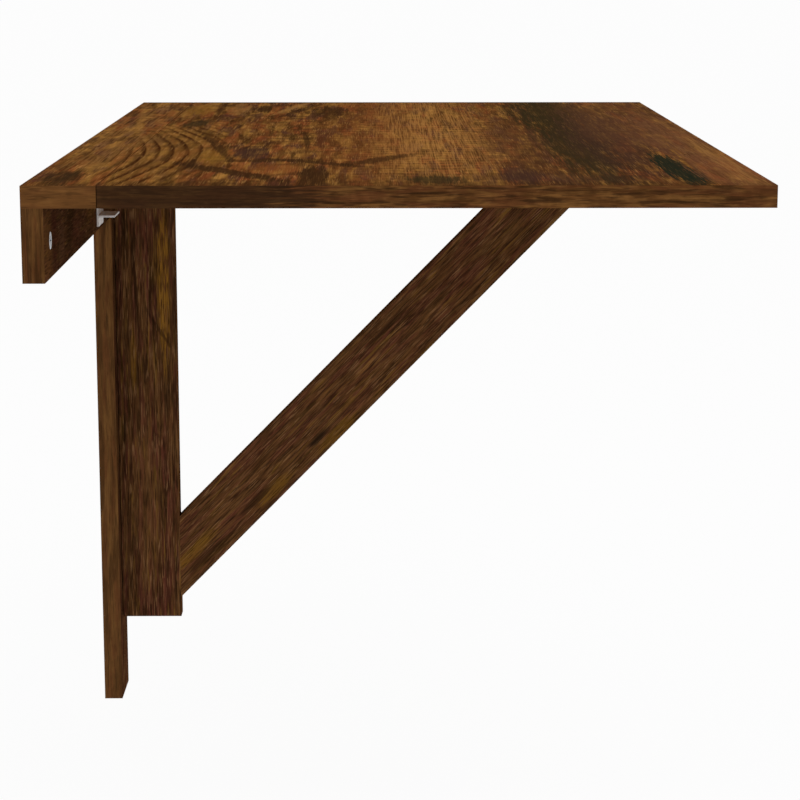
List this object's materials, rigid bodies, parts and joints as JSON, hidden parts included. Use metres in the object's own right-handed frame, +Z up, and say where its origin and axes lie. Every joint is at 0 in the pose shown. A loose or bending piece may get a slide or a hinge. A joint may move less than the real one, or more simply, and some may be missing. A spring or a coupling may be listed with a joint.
{
  "type": "wall mounted drop leaf table",
  "caption": "Wall table with a wide leaf hinged to a narrow fixed shelf on a wall rail and post, and a braced gate that swings out to carry the leaf.",
  "frame": {"origin": "centre of the wall rail's back face, where the rail meets the wall", "axes": "+X out from the wall, +Y along the wall towards the side that the gate folds to, +Z up"},
  "size_m": [0.6, 1, 0.578],
  "materials": {
    "top_laminate": "smoked oak laminate with a satin surface",
    "top_edge_band": "smoked oak edge band with a satin surface",
    "frame_laminate": "dark smoked oak laminate with a satin surface",
    "frame_edge_band": "dark smoked oak edge band with a satin surface",
    "dowel_beech": "plain turned wood",
    "hinge_steel": "zinc plated",
    "screw_steel": "zinc plated",
    "keeper_steel": "satin",
    "cam_zinc": "die cast zinc, nickel plated",
    "pad_plastic": "matt"
  },
  "bodies": {
    "root": {"fixed_shelf": "top_laminate", "fixed_shelf_edging": "top_edge_band", "gate_hinge_1_pin": "hinge_steel", "gate_hinge_1_post_wing": "hinge_steel", "gate_hinge_2_pin": "hinge_steel", "gate_hinge_2_post_wing": "hinge_steel", "gate_hinge_post_screws": "screw_steel", "keeper_far": "keeper_steel", "keeper_near": "keeper_steel", "keeper_screws": "screw_steel", "leaf_hinge_1_pin": "hinge_steel", "leaf_hinge_1_shelf_wing": "hinge_steel", "leaf_hinge_2_pin": "hinge_steel", "leaf_hinge_2_shelf_wing": "hinge_steel", "leaf_hinge_3_pin": "hinge_steel", "leaf_hinge_3_shelf_wing": "hinge_steel", "leaf_hinge_shelf_screws": "screw_steel", "post_dowels": "dowel_beech", "shelf_cam_bolts": "cam_zinc", "shelf_cam_locks": "cam_zinc", "shelf_dowels": "dowel_beech", "wall_post": "frame_laminate", "wall_post_edging": "frame_edge_band", "wall_rail": "frame_laminate", "wall_rail_edging": "frame_edge_band"},
    "leaf": {"drop_leaf": "top_laminate", "drop_leaf_edging": "top_edge_band", "leaf_hinge_1_leaf_wing": "hinge_steel", "leaf_hinge_2_leaf_wing": "hinge_steel", "leaf_hinge_3_leaf_wing": "hinge_steel", "leaf_hinge_leaf_screws": "screw_steel"},
    "gate": {"gate_brace": "frame_laminate", "gate_brace_dowels": "dowel_beech", "gate_brace_edging": "frame_edge_band", "gate_hinge_1_stile_wing": "hinge_steel", "gate_hinge_2_stile_wing": "hinge_steel", "gate_hinge_stile_screws": "screw_steel", "gate_rest_pad": "pad_plastic", "gate_stile": "frame_laminate", "gate_stile_edging": "frame_edge_band", "gate_top_rail": "frame_laminate", "gate_top_rail_dowels": "dowel_beech", "gate_top_rail_edging": "frame_edge_band"}
  },
  "joints": [
    {"name": "leaf_hinge", "type": "hinge", "parent": "root", "child": "leaf", "pos_m": [0.0603, 0, 0.0278], "axis": [0, -1, 0], "range_deg": [0, 1.4]},
    {"name": "gate_hinge", "type": "hinge", "parent": "root", "child": "gate", "pos_m": [0.021, 0.012, -0.23], "axis": [0, 0, 1], "range_deg": [0, 90]}
  ]
}
